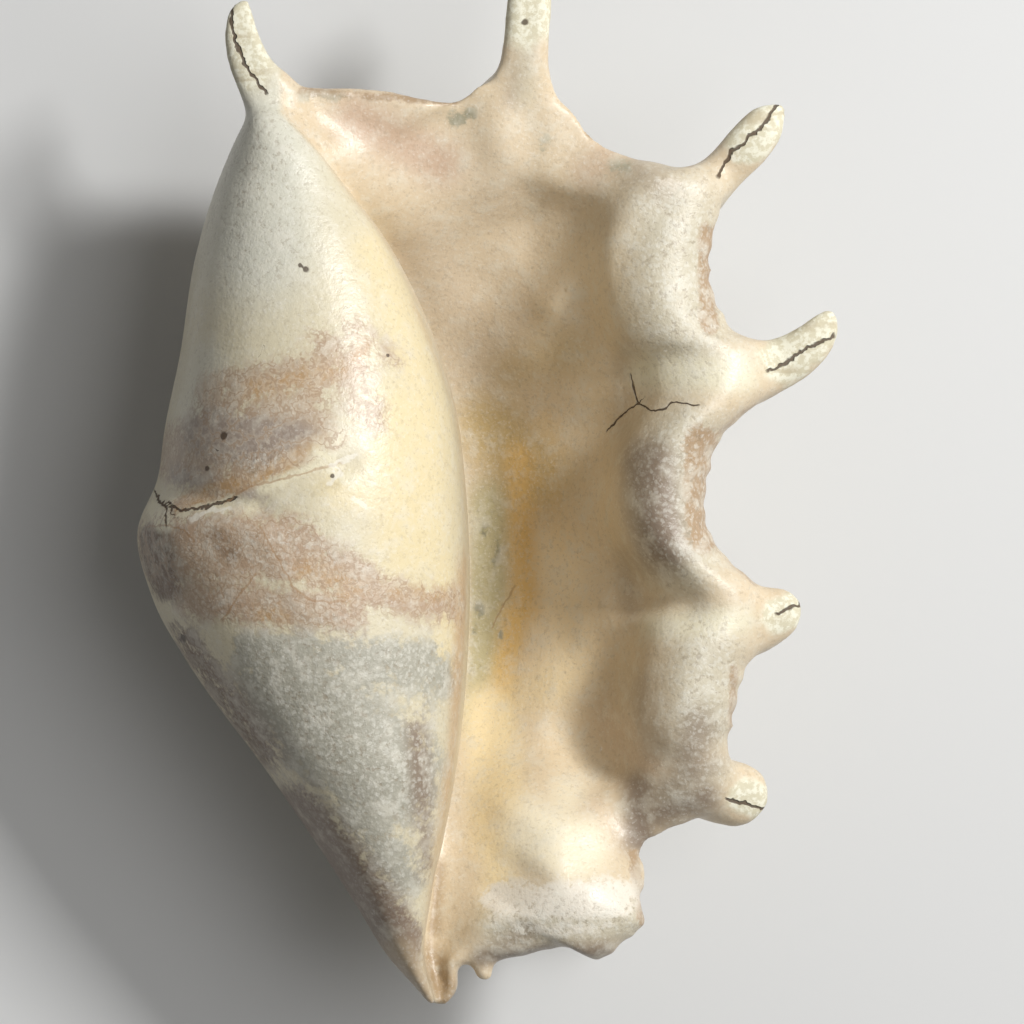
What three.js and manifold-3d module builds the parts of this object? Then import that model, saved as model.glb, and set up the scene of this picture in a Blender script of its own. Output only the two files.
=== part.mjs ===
// A giant spider conch lying on its back with the mouth up, in millimetres.
// +X runs toward the fingers of the lip, +Y toward the spire end, +Z up out of the mouth.
// The animal grew the shell as one piece, so the object is one closed solid.
import * as THREE from "three";
import * as BufferGeometryUtils from "three/addons/utils/BufferGeometryUtils.js";
import Module from "manifold-3d";

const wasm = await Module();
wasm.setup();

// ---- driving dimensions (mm) ----
const WALL = 8; // wall between the hollow and the back or side of the shell
const LIP_THICKNESS = 11; // through the flared lip
const EDGE_THICKNESS = 7; // at the rolled rim of the lip
const STATIONS = 74; // cross-sections from the canal tip to the root of the rear horn
const SECTION_SIDES = 42; // facets around each cross-section
const CAVITY_STATIONS = 22;
const CAVITY_SIDES = 16;
const HORN_SIDES = 10;
const HORN_STATIONS = 9;
const ARCH = [0, 18, 38, 62, 90, 118, 142, 162, 178]; // degrees round the body, left side to columella edge

// ---- outlines seen from above: rows of [v, x, y], v running from the canal tip (0) to the rear horn (1) ----
const LEFT_SIDE = [
  [0.0, -15.0, -150.0], [0.05, -20.0, -144.5], [0.1, -27.4, -136.1], [0.15, -35.3, -123.2],
  [0.2, -43.0, -111.0], [0.3, -61.3, -84.3], [0.4, -83.4, -54.0], [0.46, -93.4, -35.5],
  [0.5, -97.5, -19.3], [0.55, -91.8, -3.0], [0.6, -89.9, 10.1], [0.7, -85.1, 33.3],
  [0.8, -80.9, 59.1], [0.87, -75.6, 77.0], [0.92, -71.1, 87.9], [1.0, -65.0, 99.4],
];
const COLUMELLA_EDGE = [
  [0.0, -13.0, -150.4], [0.05, -16.6, -136.0], [0.1, -14.8, -120.1], [0.2, -11.4, -103.0],
  [0.3, -7.8, -82.6], [0.4, -5.0, -54.0], [0.5, -4.4, -28.0], [0.6, -5.6, -3.0],
  [0.7, -9.2, 20.5], [0.8, -18.4, 46.5], [0.87, -29.0, 66.0], [0.92, -37.5, 77.0],
  [0.97, -47.0, 89.3], [1.0, -56.0, 98.5],
];
const LIP_EDGE = [
  [0.0, -10.4, -150.6], [0.03, -7.2, -146.0], [0.055, -6.3, -139.5], [0.075, 1.5, -138.6],
  [0.1, 10.8, -137.0], [0.13, 23.8, -134.4], [0.155, 32.6, -138.0], [0.18, 40.0, -132.4],
  [0.2, 45.6, -127.6], [0.22, 44.2, -121.5], [0.245, 46.0, -113.8], [0.262, 44.4, -107.6],
  [0.285, 50.5, -102.8], [0.31, 62.0, -98.0], [0.335, 71.5, -95.0], [0.355, 73.0, -86.0],
  [0.375, 69.3, -80.5], [0.41, 70.8, -67.2], [0.44, 74.4, -55.0], [0.465, 80.0, -48.6],
  [0.49, 82.5, -40.5], [0.515, 77.5, -32.6], [0.54, 69.5, -26.0], [0.565, 63.4, -17.4],
  [0.6, 62.8, -4.0], [0.63, 66.7, 8.6], [0.66, 76.5, 17.8], [0.683, 83.0, 24.0],
  [0.705, 81.0, 34.6], [0.73, 70.8, 38.6], [0.755, 64.9, 48.5], [0.785, 63.7, 60.0],
  [0.81, 66.6, 72.0], [0.835, 69.0, 81.5], [0.85, 64.0, 86.6], [0.865, 56.0, 84.6],
  [0.878, 47.0, 86.7], [0.89, 38.0, 89.2], [0.905, 26.6, 98.8], [0.917, 20.4, 107.5],
  [0.926, 16.5, 114.5], [0.934, 7.0, 114.5], [0.942, 2.0, 108.4], [0.951, -7.0, 103.2],
  [0.965, -26.9, 105.8], [0.98, -44.0, 106.4], [1.0, -58.5, 106.5],
];

// ---- heights above the table along the same v ----
// columns: left side, crest of the body, columella edge, mouth floor, slope out of the mouth,
// foot of the lip pads, crest of the lip, rim of the lip, back of the shell
const HEIGHTS = [
  [0.0, 70, 77, 75, 71, 70, 70, 71, 69, 63],
  [0.05, 68, 80, 75, 66, 65, 67, 71, 69, 57],
  [0.1, 66, 85, 76, 63, 67, 73, 74, 70, 51],
  [0.2, 64, 96, 78, 60, 68, 76, 77, 72, 37],
  [0.26, 63, 101, 78, 54, 64, 70, 71, 69, 29],
  [0.3, 62, 105, 78, 47, 58, 64, 71, 70, 24],
  [0.35, 61, 108, 77, 37, 48, 57, 78, 71, 19.5],
  [0.4, 60, 111, 76, 29, 42, 55, 83, 74, 16],
  [0.5, 58, 114, 75, 26, 38, 54, 84, 75, 13],
  [0.6, 59, 113, 75, 26, 38, 54, 85, 75, 13],
  [0.7, 62, 109, 76, 29, 41, 56, 85, 75, 15.5],
  [0.8, 66, 104, 79, 42, 50, 60, 83, 76, 25],
  [0.84, 68, 102, 81, 53, 56, 64, 80, 76, 33],
  [0.87, 70, 100, 84, 63, 62, 67, 77, 76, 39],
  [0.9, 72, 98, 86, 71, 69, 71, 76, 77, 46],
  [0.93, 75, 97, 88.5, 78, 74, 74, 77, 79, 53],
  [0.96, 78, 96, 90.5, 83, 79, 78, 79, 81, 61],
  [1.0, 84, 93, 92, 89, 86, 85, 85, 85, 74],
];

// ---- horns and fingers: rows of [x, y, z, half width], root first ----
const HORN_FLATTENING = 0.72; // thickness of a finger over its width
const HORNS = [
  [[-52, 94, 78, 8], [-59.6, 104.5, 83, 8.2], [-63.5, 110.2, 84, 6.4], [-66.2, 116.5, 83, 5.5],
   [-67.5, 122.4, 81, 4.6], [-67.3, 128, 79, 3.2], [-65.8, 131.6, 78, 0.9]],
  [[7, 92, 62, 8], [10.4, 104, 71, 9.0], [11.4, 112, 75, 7.4], [12.2, 121, 76, 6.5],
   [13, 131.3, 76, 6.3], [14, 140, 74, 5.2], [15, 147, 72, 3.4], [15.6, 151, 71, 0.9]],
  [[58, 74, 62, 8], [67.6, 83.8, 70, 6.6], [74.6, 91.2, 73, 6.8], [80.6, 98.4, 73, 4.9],
   [84.3, 102.4, 72, 1.0]],
  [[66, 24, 60, 10], [79, 27.8, 69, 8.2], [89, 32.8, 72, 6.8], [94, 37.6, 73, 5.4],
   [96.6, 42.6, 73, 3.2], [97.1, 45.2, 73, 0.9]],
  [[66, -43, 60, 11], [76, -42.5, 68, 10], [83, -40.4, 71, 7.9], [87, -39.2, 72, 5.8],
   [89.9, -38.6, 73, 1.2]],
  [[58, -88, 56, 9], [68, -91, 63, 9.6], [74.5, -92.4, 66, 8.8], [78, -93.4, 67, 6.2],
   [80.5, -94.2, 67, 1.2]],
];

// ---- knobs of the back: [x, y, width across, width along, height]; the lowest are worn flat ----
const KNOBS = [
  [-84, -18, 26, 13, 9], [-56, -11, 22, 17, 15], [-19, -3, 24, 18, 15], [19, 4, 23, 18, 27],
  [50, 10, 16, 13, 8], [-45, -64, 19, 14, 20], [-12, -60, 18, 13, 20], [22, -52, 17, 12, 12],
  [-30, 34, 18, 12, 7], [8, 40, 16, 12, 7],
];
const CANAL_KNOB = [0.1, -141.6, 69, 3.4, 3.4, 3.4];

// ---- folds of the lip that run out into the fingers: [v, width in v, ramp height, rib height] ----
const FOLDS = [
  [0.33, 0.016, 0, 5], [0.475, 0.024, 11, 6], [0.69, 0.03, 12, 7], [0.835, 0.022, 0, 7], [0.93, 0.02, 0, 6],
];

// ---- soft ridges (+) and hollows (-) on the mouth side: [x, y, to x, to y, width, height] ----
const RELIEF = [
  [12, -98, 27, -117, 13, 3.5], [46, -107, 26, -76, 8, -4], [47, 82, 20, 47, 6, 4.5],
  [28, 92, 2, 56, 12, -4],
];

// ---- spire: profile rows of [radius, distance along its axis], seen only from behind and below ----
const SPIRE_FOOT = new THREE.Vector3(-50, 38, 38);
const SPIRE_TIP = new THREE.Vector3(-57, 92, 54);
const SPIRE_PROFILE = [
  [0, 0], [24, 0], [25, 8], [20, 13], [20.5, 20], [15, 26], [15.5, 32], [10, 38], [10, 43], [4, 51], [0, 54],
];

// Reads a table of [v, ...values] at any v, by a smooth curve through its rows.
function reader(rows) {
  const positions = rows.map((row) => row[0]);
  const values = rows.flatMap((row) => row.slice(1));
  const curve = new THREE.CubicInterpolant(positions, values, rows[0].length - 1);
  return (v) => Array.from(curve.evaluate(v));
}

const leftSide = reader(LEFT_SIDE);
const columellaEdge = reader(COLUMELLA_EDGE);
const lipEdge = reader(LIP_EDGE);
const heights = reader(HEIGHTS);

// A station is one slanting cut across the shell: left side, columella edge and lip edge lie on it.
function station(v) {
  const left = new THREE.Vector2(...leftSide(v));
  const columella = new THREE.Vector2(...columellaEdge(v));
  const lip = new THREE.Vector2(...lipEdge(v));
  const [side, crest, edge, floor, slope, foot, pad, rim, back] = heights(v);
  const onBody = (share, z) => point(columella.clone().lerp(left, share), z);
  const onLip = (share, z) => point(columella.clone().lerp(lip, share), z);
  return { onBody, onLip, side, crest, edge, floor, slope, foot, pad, rim, back };
}

function point(plan, z) {
  return new THREE.Vector3(plan.x, plan.y, z);
}

// Sum of the folds at one v: column 2 is the ramp on the mouth side, column 3 the rib underneath.
function fold(v, column) {
  return FOLDS.reduce((sum, row) => sum + row[column] * Math.exp(-(((v - row[0]) / row[1]) ** 2)), 0);
}

// The body's arch at one station, from its left side over the crest to the columella edge.
function archPoint(s, degrees) {
  const turn = THREE.MathUtils.degToRad(degrees);
  const share = 0.47 + (Math.cos(turn) > 0 ? 0.53 : 0.47) * Math.cos(turn);
  const base = THREE.MathUtils.lerp(s.edge, s.side, share);
  return s.onBody(share, base + (s.crest - base) * Math.sin(turn) ** 0.9);
}

// Outside of the shell at one station, as a closed loop: body, columella, mouth, lip, back.
function outerLoop(v) {
  const s = station(v);
  const drop = s.side - s.back;
  const dive = s.floor - s.edge;
  const undercut = THREE.MathUtils.clamp(-dive / 20, 0, 1);
  const pad = s.pad - 0.3 * fold(v, 2);
  const foot = s.foot + 0.6 * fold(v, 2);
  const slope = s.slope + 0.15 * fold(v, 2);
  const under = Math.min(pad, s.rim) - LIP_THICKNESS - fold(v, 3);
  return [
    ...ARCH.map((degrees) => archPoint(s, degrees)),
    s.onLip(0.008, s.edge - 5 * undercut),
    s.onBody(0.01, s.edge - 13 * undercut),
    s.onBody(0.05, s.edge + 0.75 * dive),
    s.onBody(0.07, s.floor + 1),
    s.onLip(0.08, s.floor),
    s.onLip(0.32, slope),
    s.onLip(0.54, foot),
    s.onLip(0.66, THREE.MathUtils.lerp(foot, pad, 0.72)),
    s.onLip(0.8, pad),
    s.onLip(0.93, THREE.MathUtils.lerp(pad, s.rim, 0.35)),
    s.onLip(1, s.rim - EDGE_THICKNESS / 2),
    s.onLip(0.96, s.rim - EDGE_THICKNESS - 1),
    s.onLip(0.8, under - 4),
    s.onLip(0.56, Math.max(foot - LIP_THICKNESS - 4 - fold(v, 3), s.back + 4)),
    s.onLip(0.3, Math.max(slope - LIP_THICKNESS - 4, s.back + 2)),
    s.onLip(0.02, s.back + 0.5),
    s.onBody(0.35, s.back - 1),
    s.onBody(0.66, s.back + 0.1 * drop),
    s.onBody(0.9, s.back + 0.5 * drop),
  ];
}

// The hollow of the body whorl at one station. Its right end stands in the open mouth.
function cavityLoop(v) {
  const s = station(v);
  const rise = s.crest - s.side;
  const drop = s.side - s.back;
  return [
    s.onBody(0.02, s.floor + 7),
    s.onBody(0.1, s.floor - 0.5),
    s.onBody(0.35, s.back + WALL),
    s.onBody(0.62, s.back + WALL + 0.1 * drop),
    s.onBody(0.82, s.back + WALL + 0.45 * drop),
    s.onBody(0.89, s.side + 4),
    s.onBody(0.82, s.side + 0.6 * rise - 4),
    s.onBody(0.66, s.side + 0.86 * rise - WALL),
    s.onBody(0.43, s.crest - WALL - 2),
    s.onBody(0.2, THREE.MathUtils.lerp(s.edge, s.crest, 0.7) - WALL - 3),
    s.onBody(0.06, s.edge - WALL - 3),
    s.onLip(0.02, s.edge - WALL - 10),
  ];
}

// Height of the knobs over the plain back at one place.
function knobHeight(x, y) {
  return KNOBS.reduce(
    (sum, [cx, cy, across, along, height]) =>
      sum + height * Math.exp(-(((x - cx) / across) ** 2) - ((y - cy) / along) ** 2),
    0,
  );
}

// Height of the soft ridges and hollows of the mouth side at one place.
function reliefHeight(x, y) {
  const place = new THREE.Vector3(x, y, 0);
  return RELIEF.reduce((sum, [x0, y0, x1, y1, width, height]) => {
    const line = new THREE.Line3(new THREE.Vector3(x0, y0, 0), new THREE.Vector3(x1, y1, 0));
    const nearest = line.closestPointToPoint(place, true, new THREE.Vector3());
    return sum + height * Math.exp(-((nearest.distanceTo(place) / width) ** 2));
  }, 0);
}

// A closed skin over rings of equal length, with a fan of triangles over each end.
function loft(rings) {
  const sides = rings[0].length;
  const middles = [rings[0], rings[rings.length - 1]].map((ring) =>
    ring.reduce((sum, p) => sum.add(p), new THREE.Vector3()).divideScalar(sides));
  const points = [...rings.flat(), ...middles];
  const firstMiddle = points.length - 2;
  const lastMiddle = points.length - 1;
  const lastRing = (rings.length - 1) * sides;
  const faces = [];
  for (let k = 0; k < sides; k++) {
    const next = (k + 1) % sides;
    for (let i = 0; i + 1 < rings.length; i++) {
      const near = i * sides;
      const far = near + sides;
      faces.push(near + k, near + next, far + next, near + k, far + next, far + k);
    }
    faces.push(firstMiddle, next, k, lastMiddle, lastRing + k, lastRing + next);
  }
  const geometry = new THREE.BufferGeometry();
  geometry.setAttribute("position", new THREE.Float32BufferAttribute(points.flatMap((p) => p.toArray()), 3));
  geometry.setIndex(faces);
  return geometry;
}

// Evenly spaced points on the smooth closed curve through a loop's own points.
function smoothRing(loop, sides) {
  const curve = new THREE.CatmullRomCurve3(loop, true, "centripetal");
  return Array.from({ length: sides }, (_, k) => curve.getPoint(k / sides));
}

// Eases from 0 to 1 as a loop position passes from one point of the loop to another.
function ease(at, from, to) {
  return THREE.MathUtils.clamp((at - from) / (to - from), 0, 1);
}

function outerShell() {
  const rings = Array.from({ length: STATIONS + 1 }, (_, i) => {
    const loop = outerLoop(i / STATIONS);
    const ring = smoothRing(loop, SECTION_SIDES);
    return ring.map((p, k) => {
      const at = (k / SECTION_SIDES) * loop.length;
      const onBack = ease(at, 20.5, 22) * ease(at, 28, 26.5);
      const onFront = ease(at, 0, 1.5) * ease(at, 19.5, 18);
      p.z += reliefHeight(p.x, p.y) * onFront - knobHeight(p.x, p.y) * onBack;
      return p;
    });
  });
  return loft(rings);
}

function cavity() {
  const [start, end] = [0.2, 0.84];
  const rings = Array.from({ length: CAVITY_STATIONS + 1 }, (_, i) => {
    const t = i / CAVITY_STATIONS;
    const v = THREE.MathUtils.lerp(start, end, t);
    const s = station(v);
    const swelling = Math.sqrt(Math.max(1 - Math.abs(2 * t - 1) ** 4, 0.0004));
    const anchor = s.onLip(0.02, THREE.MathUtils.lerp(s.floor, s.edge, 0.5));
    return smoothRing(cavityLoop(v), CAVITY_SIDES).map((p) => anchor.clone().lerp(p, swelling));
  });
  return loft(rings);
}

// A finger: a flattened round section carried along its path, with a shallow gutter on its upper side.
function horn(rows) {
  const middles = rows.map(([x, y, z]) => new THREE.Vector3(x, y, z));
  const halfWidths = rows.map(([, , , half], i) => new THREE.Vector3(i, half, 0));
  const path = new THREE.CatmullRomCurve3(middles, false, "centripetal");
  const widths = new THREE.CatmullRomCurve3(halfWidths, false, "centripetal");
  const up = new THREE.Vector3(0, 0, 1);
  const rings = Array.from({ length: HORN_STATIONS + 1 }, (_, i) => {
    const t = i / HORN_STATIONS;
    const along = path.getTangent(t);
    const across = new THREE.Vector3().crossVectors(up, along).normalize();
    const out = new THREE.Vector3().crossVectors(along, across).normalize();
    const halfWidth = Math.max(widths.getPoint(t).y, 0.6);
    return Array.from({ length: HORN_SIDES }, (_, k) => {
      const angle = (2 * Math.PI * k) / HORN_SIDES;
      const gutter = Math.sin(angle) > 0.99 ? 0.75 : 1;
      return path.getPoint(t)
        .addScaledVector(across, halfWidth * Math.cos(angle))
        .addScaledVector(out, halfWidth * HORN_FLATTENING * gutter * Math.sin(angle));
    });
  });
  return loft(rings);
}

function knob([x, y, z, across, along, height]) {
  const geometry = new THREE.SphereGeometry(1, 12, 8);
  geometry.rotateX(Math.PI / 2);
  geometry.scale(across, along, height);
  geometry.translate(x, y, z);
  return geometry;
}

function spire() {
  const profile = SPIRE_PROFILE.map(([radius, along]) => new THREE.Vector2(radius, along));
  const geometry = new THREE.LatheGeometry(profile, 16);
  const axis = SPIRE_TIP.clone().sub(SPIRE_FOOT).normalize();
  geometry.applyQuaternion(new THREE.Quaternion().setFromUnitVectors(new THREE.Vector3(0, 1, 0), axis));
  geometry.translate(...SPIRE_FOOT.toArray());
  return geometry;
}

function solid(geometry) {
  geometry.deleteAttribute("normal");
  geometry.deleteAttribute("uv");
  const merged = BufferGeometryUtils.mergeVertices(geometry, 1e-4);
  return new wasm.Manifold(new wasm.Mesh({
    numProp: 3,
    vertProperties: new Float32Array(merged.attributes.position.array),
    triVerts: new Uint32Array(merged.index.array),
  }));
}

// Everything below the table is worn away: this leaves the flats the shell rests on.
function table() {
  const geometry = new THREE.BoxGeometry(400, 400, 100);
  geometry.translate(0, 0, -50);
  return solid(geometry);
}

let body = solid(outerShell());
for (const piece of [...HORNS.map(horn), knob(CANAL_KNOB), spire()]) {
  body = body.add(solid(piece));
}
body = body.subtract(solid(cavity())).subtract(table());

const mesh = body.getMesh();
const geometry = new THREE.BufferGeometry();
geometry.setAttribute("position", new THREE.BufferAttribute(mesh.vertProperties, 3));
geometry.setIndex(new THREE.BufferAttribute(mesh.triVerts, 1));
geometry.computeVertexNormals();

// The origin is on the table, under the middle of the shell's outline.
geometry.computeBoundingBox();
const middle = geometry.boundingBox.getCenter(new THREE.Vector3());
geometry.translate(-middle.x, -middle.y, 0);

const shell = new THREE.Mesh(
  geometry,
  new THREE.MeshStandardMaterial({ color: 0xd8c6ac, roughness: 0.45, metalness: 0 }),
);
shell.name = "shell";

const conch = new THREE.Group();
conch.add(shell);
export default conch;
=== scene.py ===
import bpy
import numpy as np
from mathutils.bvhtree import BVHTree
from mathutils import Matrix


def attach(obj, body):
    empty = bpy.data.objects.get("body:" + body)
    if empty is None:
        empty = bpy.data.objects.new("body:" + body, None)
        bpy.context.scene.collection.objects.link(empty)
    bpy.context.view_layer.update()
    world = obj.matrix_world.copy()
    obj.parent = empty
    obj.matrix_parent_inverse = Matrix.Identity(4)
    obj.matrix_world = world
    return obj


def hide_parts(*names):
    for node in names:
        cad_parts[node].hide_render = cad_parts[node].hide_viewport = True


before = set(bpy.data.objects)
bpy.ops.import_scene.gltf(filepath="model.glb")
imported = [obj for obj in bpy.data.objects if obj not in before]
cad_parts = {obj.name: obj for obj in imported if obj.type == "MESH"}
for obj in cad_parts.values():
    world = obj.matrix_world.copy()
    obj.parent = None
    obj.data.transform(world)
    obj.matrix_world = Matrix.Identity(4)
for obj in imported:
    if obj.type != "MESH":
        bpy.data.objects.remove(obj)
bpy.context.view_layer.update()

# ============================================================================================
# The shell: one giant spider conch, lying on its back with the mouth up. The animal laid it down
# as layers of lime, so body, inner lip, flared lip, fingers and spire are one piece with no joint.
# ============================================================================================

# The shell's sizes are in millimetres, with +X toward the fingers and +Y toward the spire end.
MM = 0.001
WALL = 8.0
LIP_THICKNESS = 11.0
RIM_THICKNESS = 6.0

# Outlines seen from above: rows of v, x, y. v runs from the canal tip (0) to the rear horn (1).
LEFT_SIDE = np.array([
    [0.0, -15.0, -150.0], [0.05, -20.0, -144.5], [0.1, -27.4, -136.1], [0.15, -35.3, -123.2],
    [0.2, -43.0, -111.0], [0.3, -61.3, -84.3], [0.4, -83.4, -54.0], [0.46, -93.4, -35.5],
    [0.5, -97.5, -19.3], [0.55, -91.8, -3.0], [0.6, -89.9, 10.1], [0.7, -85.1, 33.3],
    [0.8, -80.9, 59.1], [0.87, -75.6, 77.0], [0.92, -71.1, 87.9], [1.0, -65.0, 99.4],
])
COLUMELLA_EDGE = np.array([
    [0.0, -13.0, -150.4], [0.05, -16.6, -136.0], [0.1, -14.8, -120.1], [0.2, -11.4, -103.0],
    [0.3, -7.8, -82.6], [0.4, -5.0, -54.0], [0.5, -4.4, -28.0], [0.6, -5.6, -3.0],
    [0.7, -9.2, 20.5], [0.8, -18.4, 46.5], [0.87, -29.0, 66.0], [0.92, -37.5, 77.0],
    [0.97, -47.0, 89.3], [1.0, -56.0, 98.5],
])
LIP_EDGE = np.array([
    [0.0, -10.4, -150.6], [0.03, -7.2, -146.0], [0.055, -6.3, -139.5], [0.075, 1.5, -138.6],
    [0.1, 10.8, -137.0], [0.13, 23.8, -134.4], [0.155, 32.6, -138.0], [0.18, 40.0, -132.4],
    [0.2, 45.6, -127.6], [0.22, 44.2, -121.5], [0.245, 46.0, -113.8], [0.262, 44.4, -107.6],
    [0.285, 50.5, -102.8], [0.31, 62.0, -98.0], [0.335, 71.5, -95.0], [0.355, 73.0, -86.0],
    [0.375, 69.3, -80.5], [0.41, 70.8, -67.2], [0.44, 74.4, -55.0], [0.465, 80.0, -48.6],
    [0.49, 82.5, -40.5], [0.515, 77.5, -32.6], [0.54, 69.5, -26.0], [0.565, 63.4, -17.4],
    [0.6, 62.8, -4.0], [0.63, 66.7, 8.6], [0.66, 76.5, 17.8], [0.683, 83.0, 24.0],
    [0.705, 81.0, 34.6], [0.73, 70.8, 38.6], [0.755, 64.9, 48.5], [0.785, 63.7, 60.0],
    [0.81, 66.6, 72.0], [0.835, 69.0, 81.5], [0.85, 64.0, 86.6], [0.865, 56.0, 84.6],
    [0.878, 47.0, 86.7], [0.89, 38.0, 89.2], [0.905, 26.6, 98.8], [0.917, 20.4, 107.5],
    [0.926, 16.5, 114.5], [0.934, 7.0, 114.5], [0.942, 2.0, 108.4], [0.951, -7.0, 103.2],
    [0.965, -26.9, 105.8], [0.98, -44.0, 106.4], [1.0, -58.5, 106.5],
])
# Heights over the table along the same v: left side, crest of the body, columella edge, mouth
# floor, slope out of the mouth, foot of the lip pads, crest of the lip, rim, back of the shell.
HEIGHTS = np.array([
    [0.0, 70, 77, 75, 71, 70, 70, 71, 69, 63],
    [0.05, 68, 80, 75, 66, 65, 67, 71, 69, 57],
    [0.1, 66, 85, 76, 63, 67, 73, 74, 70, 51],
    [0.2, 64, 96, 78, 60, 68, 76, 77, 72, 37],
    [0.26, 63, 101, 78, 54, 64, 70, 71, 69, 29],
    [0.3, 62, 105, 78, 47, 58, 64, 71, 70, 24],
    [0.35, 61, 108, 77, 37, 48, 57, 78, 71, 19.5],
    [0.4, 60, 111, 76, 29, 42, 55, 83, 74, 16],
    [0.5, 58, 114, 75, 26, 38, 54, 84, 75, 13],
    [0.6, 59, 113, 75, 26, 38, 54, 85, 75, 13],
    [0.7, 62, 109, 76, 29, 41, 56, 85, 75, 15.5],
    [0.8, 66, 104, 79, 42, 50, 60, 83, 76, 25],
    [0.84, 68, 102, 81, 53, 56, 64, 80, 76, 33],
    [0.87, 70, 100, 84, 63, 62, 67, 77, 76, 39],
    [0.9, 72, 98, 86, 71, 69, 71, 76, 77, 46],
    [0.93, 75, 97, 88.5, 78, 74, 74, 77, 79, 53],
    [0.96, 78, 96, 90.5, 83, 79, 78, 79, 81, 61],
    [1.0, 84, 93, 92, 89, 86, 85, 85, 85, 74],
])


def through(rows, v):
    """Reads a table of v and values at every v: a cubic between each two rows, whose slope at a row
    is the slope between the rows on its two sides."""
    at, values = rows[:, 0], rows[:, 1:]
    slope = np.gradient(values, at, axis=0)
    k = np.clip(np.searchsorted(at, v, side="right") - 1, 0, len(at) - 2)
    span = (at[k + 1] - at[k])[:, None]
    t = ((v - at[k]) / span[:, 0])[:, None]
    start = (1 + 2 * t) * (1 - t) ** 2 * values[k] + t * (1 - t) ** 2 * span * slope[k]
    end = t * t * (3 - 2 * t) * values[k + 1] - t * t * (1 - t) * span * slope[k + 1]
    return start + end


def closed_curve(loops, steps):
    """Points on the smooth closed curve through each loop's own points (centripetal Catmull-Rom):
    loops is (stations, points, 3), and each stretch between two points gives `steps` points."""
    before, here = np.roll(loops, 1, axis=1), loops
    after, beyond = np.roll(loops, -1, axis=1), np.roll(loops, -2, axis=1)

    def knot(p, q):
        return np.maximum(np.linalg.norm(q - p, axis=2, keepdims=True), 1e-6) ** 0.5

    a, b, c = knot(before, here), knot(here, after), knot(after, beyond)
    leave = b * ((here - before) / a - (after - before) / (a + b) + (after - here) / b)
    arrive = b * ((after - here) / b - (beyond - here) / (b + c) + (beyond - after) / c)
    t = (np.arange(steps) / steps)[None, None, :, None]
    h, n, l, r = (q[:, :, None, :] for q in (here, after, leave, arrive))
    points = (1 + 2 * t) * (1 - t) ** 2 * h + t * (1 - t) ** 2 * l
    points = points + t * t * (3 - 2 * t) * n - t * t * (1 - t) * r
    return points.reshape(len(loops), -1, 3)


def closed_skin(name, rings):
    """A mesh over rings (stations, sides, 3): four-sided faces between rings, and a fan over each end."""
    stations, sides, _ = rings.shape
    ends = np.stack([rings[0].mean(0), rings[-1].mean(0)])
    points = np.concatenate([rings.reshape(-1, 3), ends])
    i, k = np.meshgrid(np.arange(stations - 1), np.arange(sides), indexing="ij")
    near, far, turn = i * sides, (i + 1) * sides, (k + 1) % sides
    quads = np.stack([near + k, near + turn, far + turn, far + k], axis=-1).reshape(-1, 4)
    k = np.arange(sides)
    turn, last = (k + 1) % sides, (stations - 1) * sides
    first_fan = np.stack([np.full(sides, len(points) - 2), turn, k], axis=-1)
    last_fan = np.stack([np.full(sides, len(points) - 1), last + k, last + turn], axis=-1)
    mesh = bpy.data.meshes.new(name)
    mesh.from_pydata(points * MM, [], quads.tolist() + first_fan.tolist() + last_fan.tolist())
    piece = bpy.data.objects.new(name, mesh)
    bpy.context.scene.collection.objects.link(piece)
    return piece


def stations(v):
    """Left side, columella edge and lip edge seen from above, and the heights, at every v."""
    return through(LEFT_SIDE, v), through(COLUMELLA_EDGE, v), through(LIP_EDGE, v), through(HEIGHTS, v).T


def loops_from(v, rows):
    """Loops whose points lie a share of the way from the columella edge to the left side (share
    below 0) or to the lip edge (share above 0), each at its own height."""
    left, columella, lip, _ = stations(v)
    points = []
    for share, z in rows:
        side = left if share < 0 else lip
        plan = columella + abs(share) * (side - columella)
        points.append(np.column_stack([plan, z]))
    return np.stack(points, axis=1)


# Each finger is a fold of the lip: a ramp that fills the steep foot of the pads on its mouth
# side and a rib under it, both running along one v from the mouth to the finger: rows of v,
# width in v, ramp height, rib height.
FOLDS = np.array([
    [0.33, 0.016, 0.0, 5.0], [0.475, 0.024, 11.0, 6.0], [0.69, 0.03, 12.0, 7.0],
    [0.835, 0.022, 0.0, 7.0], [0.93, 0.02, 0.0, 6.0],
])
# Knobs of the back: rows of x, y, width across, width along, height.
KNOBS = np.array([
    [-84, -18, 26, 13, 9], [-56, -11, 22, 17, 15], [-19, -3, 24, 18, 15], [19, 4, 23, 18, 27],
    [50, 10, 16, 13, 8], [-45, -64, 19, 14, 20], [-12, -60, 18, 13, 20], [22, -52, 17, 12, 12],
    [-30, 34, 18, 12, 7], [8, 40, 16, 12, 7],
], float)

# Soft ridges (height above 0) and hollows (below 0) pressed into the mouth side, each along a
# line: rows of x, y, x, y, width, height.
RELIEF = np.array([
    [12, -98, 27, -117, 13, 3.5], [46, -107, 26, -76, 8, -4], [47, 82, 20, 47, 6, 4.5],
    [28, 92, 2, 56, 12, -4], [13, 150, 13, 64, 3, -1.2], [5, 112, 3, 78, 4, 1.2],
    [40, -38, 58, -38, 4, -2.5], [30, -45, 68, -45, 6, 2.5], [26, 22, 66, 24, 8, 2],
    [-93, -17, -86, -21, 8, 2.5], [-94, -5, -60, -11, 2.4, -1.5], [-60, -11, -36, 1, 2.6, -1.0],
    [-90, -14, -62, -17, 4.5, 1.0], [-58, -20, -50, -36, 4, 0.6],
])


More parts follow.
